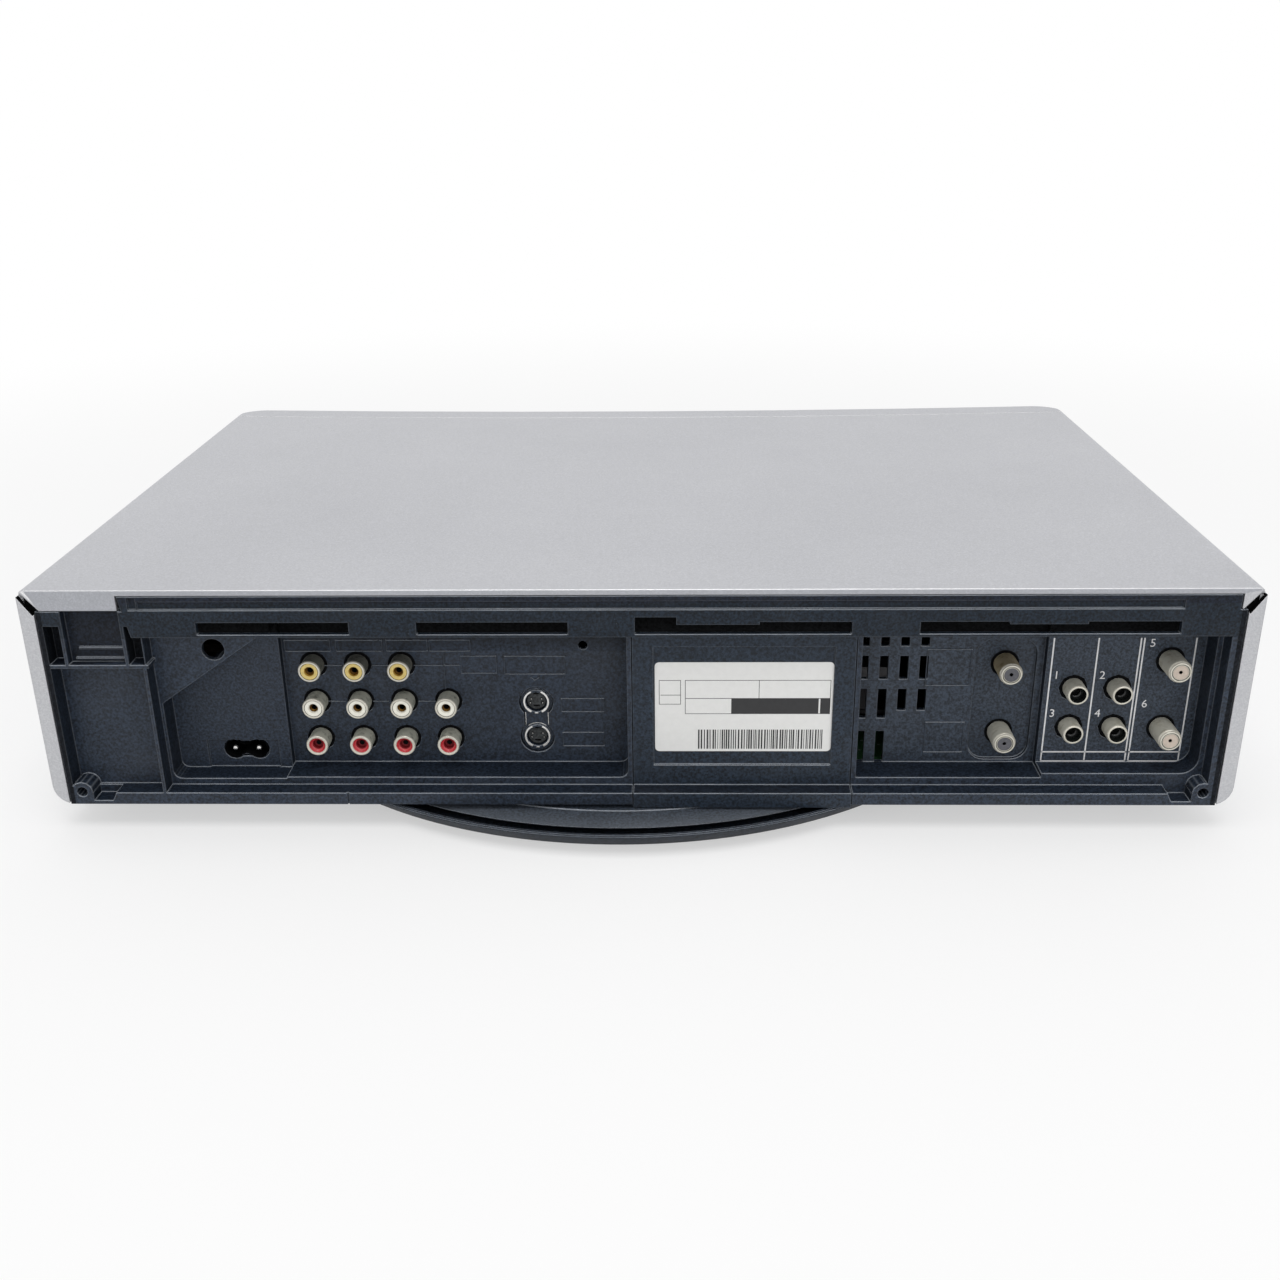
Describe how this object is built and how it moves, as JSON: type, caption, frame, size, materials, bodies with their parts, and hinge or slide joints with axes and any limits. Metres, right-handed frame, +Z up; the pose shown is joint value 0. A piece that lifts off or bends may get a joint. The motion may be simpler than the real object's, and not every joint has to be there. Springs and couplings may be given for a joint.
{
  "type": "video cassette recorder",
  "caption": "Flat silver video cassette recorder with a black recessed connector panel, a sprung cassette flap, a loading mechanism inside and a round swivel base.",
  "frame": {"origin": "on the floor, midway across the body's width and in line with the swivel axis from front to back", "axes": "+X to the right as seen from the front, +Y from the front towards the connectors, +Z up"},
  "size_m": [0.43, 0.3296, 0.094],
  "materials": {
    "silver": "fine silver paint, satin",
    "silver_plastic": "silver painted plastic, satin",
    "black_plastic": "fine grained, matte",
    "base_plastic": "fine grained, matte",
    "nickel": "nickel plated",
    "steel": "zinc plated sheet",
    "aluminium": "fine turned",
    "circuit": "lacquered board",
    "white_plastic": "moulded",
    "rubber": "matte",
    "smoked": "smoked, polished",
    "chrome": "polished"
  },
  "bodies": {
    "base": {"base_ring": "base_plastic", "anti_slip_ring": "rubber", "swivel_retainer": "steel"},
    "chassis": {"base_disc": "base_plastic", "chassis_tray": "black_plastic", "top_cover": "silver", "front_panel": "silver_plastic", "display_window": "smoked", "display_module": "circuit", "front_board": "circuit", "front_jack_block": "black_plastic", "rear_housing": "black_plastic", "centre_plate": "black_plastic", "s_video_block": "black_plastic", "mains_inlet": "black_plastic", "main_board": "circuit", "power_board": "circuit", "power_transformer": "steel", "jack_column_1": "nickel", "jack_column_2": "nickel", "jack_column_3": "nickel", "jack_column_4": "nickel", "decoder_jack_column_1": "nickel", "decoder_jack_column_2": "nickel", "aerial_in_socket": "nickel", "aerial_out_socket": "nickel", "satellite_in_socket": "nickel", "satellite_out_socket": "nickel", "tuner_can": "steel", "satellite_tuner_can": "steel", "mechanism_deck": "steel", "left_holder_bracket": "steel", "right_holder_bracket": "steel", "control_head": "steel", "erase_head": "steel", "loading_motor": "steel", "lower_drum": "aluminium"},
    "cassette_flap": {"cassette_flap": "silver_plastic"},
    "front_door": {"front_door": "silver_plastic"},
    "holder_carriage": {"holder_carriage": "steel"},
    "cassette_holder": {"cassette_holder": "steel"},
    "upper_drum": {"upper_drum": "aluminium"},
    "capstan_flywheel": {"capstan_flywheel": "chrome"},
    "pinch_arm": {"pinch_arm": "steel"},
    "pinch_roller": {"pinch_roller": "rubber"},
    "supply_reel_table": {"supply_reel_table": "white_plastic"},
    "take_up_reel_table": {"take_up_reel_table": "white_plastic"},
    "supply_guide_post": {"supply_guide_post": "chrome"},
    "take_up_guide_post": {"take_up_guide_post": "chrome"},
    "tension_arm": {"tension_arm": "steel"},
    "cam_gear": {"cam_gear": "white_plastic"},
    "eject_button": {"eject_button": "silver_plastic"},
    "power_button": {"power_button": "silver_plastic"},
    "rewind_button": {"rewind_button": "silver_plastic"},
    "play_button": {"play_button": "silver_plastic"},
    "fast_forward_button": {"fast_forward_button": "silver_plastic"},
    "stop_button": {"stop_button": "silver_plastic"},
    "record_button": {"record_button": "silver_plastic"}
  },
  "joints": [
    {"name": "body_swivel", "type": "hinge", "parent": "base", "child": "chassis", "pos_m": [0.007, 0, 0], "axis": [0, 0, 1], "range_deg": [-90, 90]},
    {"name": "flap_hinge", "type": "hinge", "parent": "chassis", "child": "cassette_flap", "pos_m": [0, -0.118, 0.0877], "axis": [1, 0, 0], "range_deg": [0, 88], "stiffness_Nm_per_rad": 0.01, "springref_deg": -17.19},
    {"name": "door_hinge", "type": "hinge", "parent": "chassis", "child": "front_door", "pos_m": [0, -0.119, 0.0218], "axis": [1, 0, 0], "range_deg": [0, 95]},
    {"name": "carriage_slide", "type": "slide", "parent": "chassis", "child": "holder_carriage", "axis": [0, -1, 0], "range_m": [-0.045, 0]},
    {"name": "holder_lift", "type": "slide", "parent": "holder_carriage", "child": "cassette_holder", "axis": [0, 0, 1], "range_m": [-0.017, 0]},
    {"name": "drum_spin", "type": "hinge", "parent": "chassis", "child": "upper_drum", "pos_m": [0, 0.077, 0.0566], "axis": [0, -0.0976, 0.9952], "continuous": true},
    {"name": "capstan_spin", "type": "hinge", "parent": "chassis", "child": "capstan_flywheel", "pos_m": [0.062, 0.062, 0], "axis": [0, 0, 1], "continuous": true},
    {"name": "supply_reel_spin", "type": "hinge", "parent": "chassis", "child": "supply_reel_table", "pos_m": [-0.046, -0.024, 0], "axis": [0, 0, 1], "continuous": true},
    {"name": "take_up_reel_spin", "type": "hinge", "parent": "chassis", "child": "take_up_reel_table", "pos_m": [0.046, -0.024, 0], "axis": [0, 0, 1], "continuous": true},
    {"name": "pinch_swing", "type": "hinge", "parent": "chassis", "child": "pinch_arm", "pos_m": [0.088, 0.052, 0], "axis": [0, 0, 1], "range_deg": [-20, 0]},
    {"name": "pinch_roller_spin", "type": "hinge", "parent": "pinch_arm", "child": "pinch_roller", "pos_m": [0.06617, 0.04744, 0], "axis": [0, 0, 1], "continuous": true},
    {"name": "tension_swing", "type": "hinge", "parent": "chassis", "child": "tension_arm", "pos_m": [-0.066, 0.008, 0], "axis": [0, 0, 1], "range_deg": [0, 25]},
    {"name": "cam_gear_turn", "type": "hinge", "parent": "chassis", "child": "cam_gear", "pos_m": [-0.084, 0.062, 0], "axis": [0, 0, 1], "range_deg": [0, 270]},
    {"name": "supply_guide_slide", "type": "slide", "parent": "chassis", "child": "supply_guide_post", "axis": [-0.2707, 0.9626, 0], "range_m": [0, 0.0665]},
    {"name": "take_up_guide_slide", "type": "slide", "parent": "chassis", "child": "take_up_guide_post", "axis": [0.2707, 0.9626, 0], "range_m": [0, 0.0665]},
    {"name": "eject_push", "type": "slide", "parent": "chassis", "child": "eject_button", "axis": [0, 1, 0], "range_m": [0, 0.001], "stiffness_N_per_m": 300, "springref_m": -0.001},
    {"name": "power_push", "type": "slide", "parent": "chassis", "child": "power_button", "axis": [0, 1, 0], "range_m": [0, 0.001], "stiffness_N_per_m": 300, "springref_m": -0.001},
    {"name": "rewind_push", "type": "slide", "parent": "chassis", "child": "rewind_button", "axis": [0, 1, 0], "range_m": [0, 0.001], "stiffness_N_per_m": 300, "springref_m": -0.001},
    {"name": "play_push", "type": "slide", "parent": "chassis", "child": "play_button", "axis": [0, 1, 0], "range_m": [0, 0.001], "stiffness_N_per_m": 300, "springref_m": -0.001},
    {"name": "fast_forward_push", "type": "slide", "parent": "chassis", "child": "fast_forward_button", "axis": [0, 1, 0], "range_m": [0, 0.001], "stiffness_N_per_m": 300, "springref_m": -0.001},
    {"name": "stop_push", "type": "slide", "parent": "chassis", "child": "stop_button", "axis": [0, 1, 0], "range_m": [0, 0.001], "stiffness_N_per_m": 300, "springref_m": -0.001},
    {"name": "record_push", "type": "slide", "parent": "chassis", "child": "record_button", "axis": [0, 1, 0], "range_m": [0, 0.001], "stiffness_N_per_m": 300, "springref_m": -0.001}
  ],
  "couplings": [
    {"joint": "cam_gear_turn", "follows": "supply_guide_slide", "rad_per_m": 70.86},
    {"joint": "take_up_guide_slide", "follows": "supply_guide_slide", "ratio": 1}
  ]
}
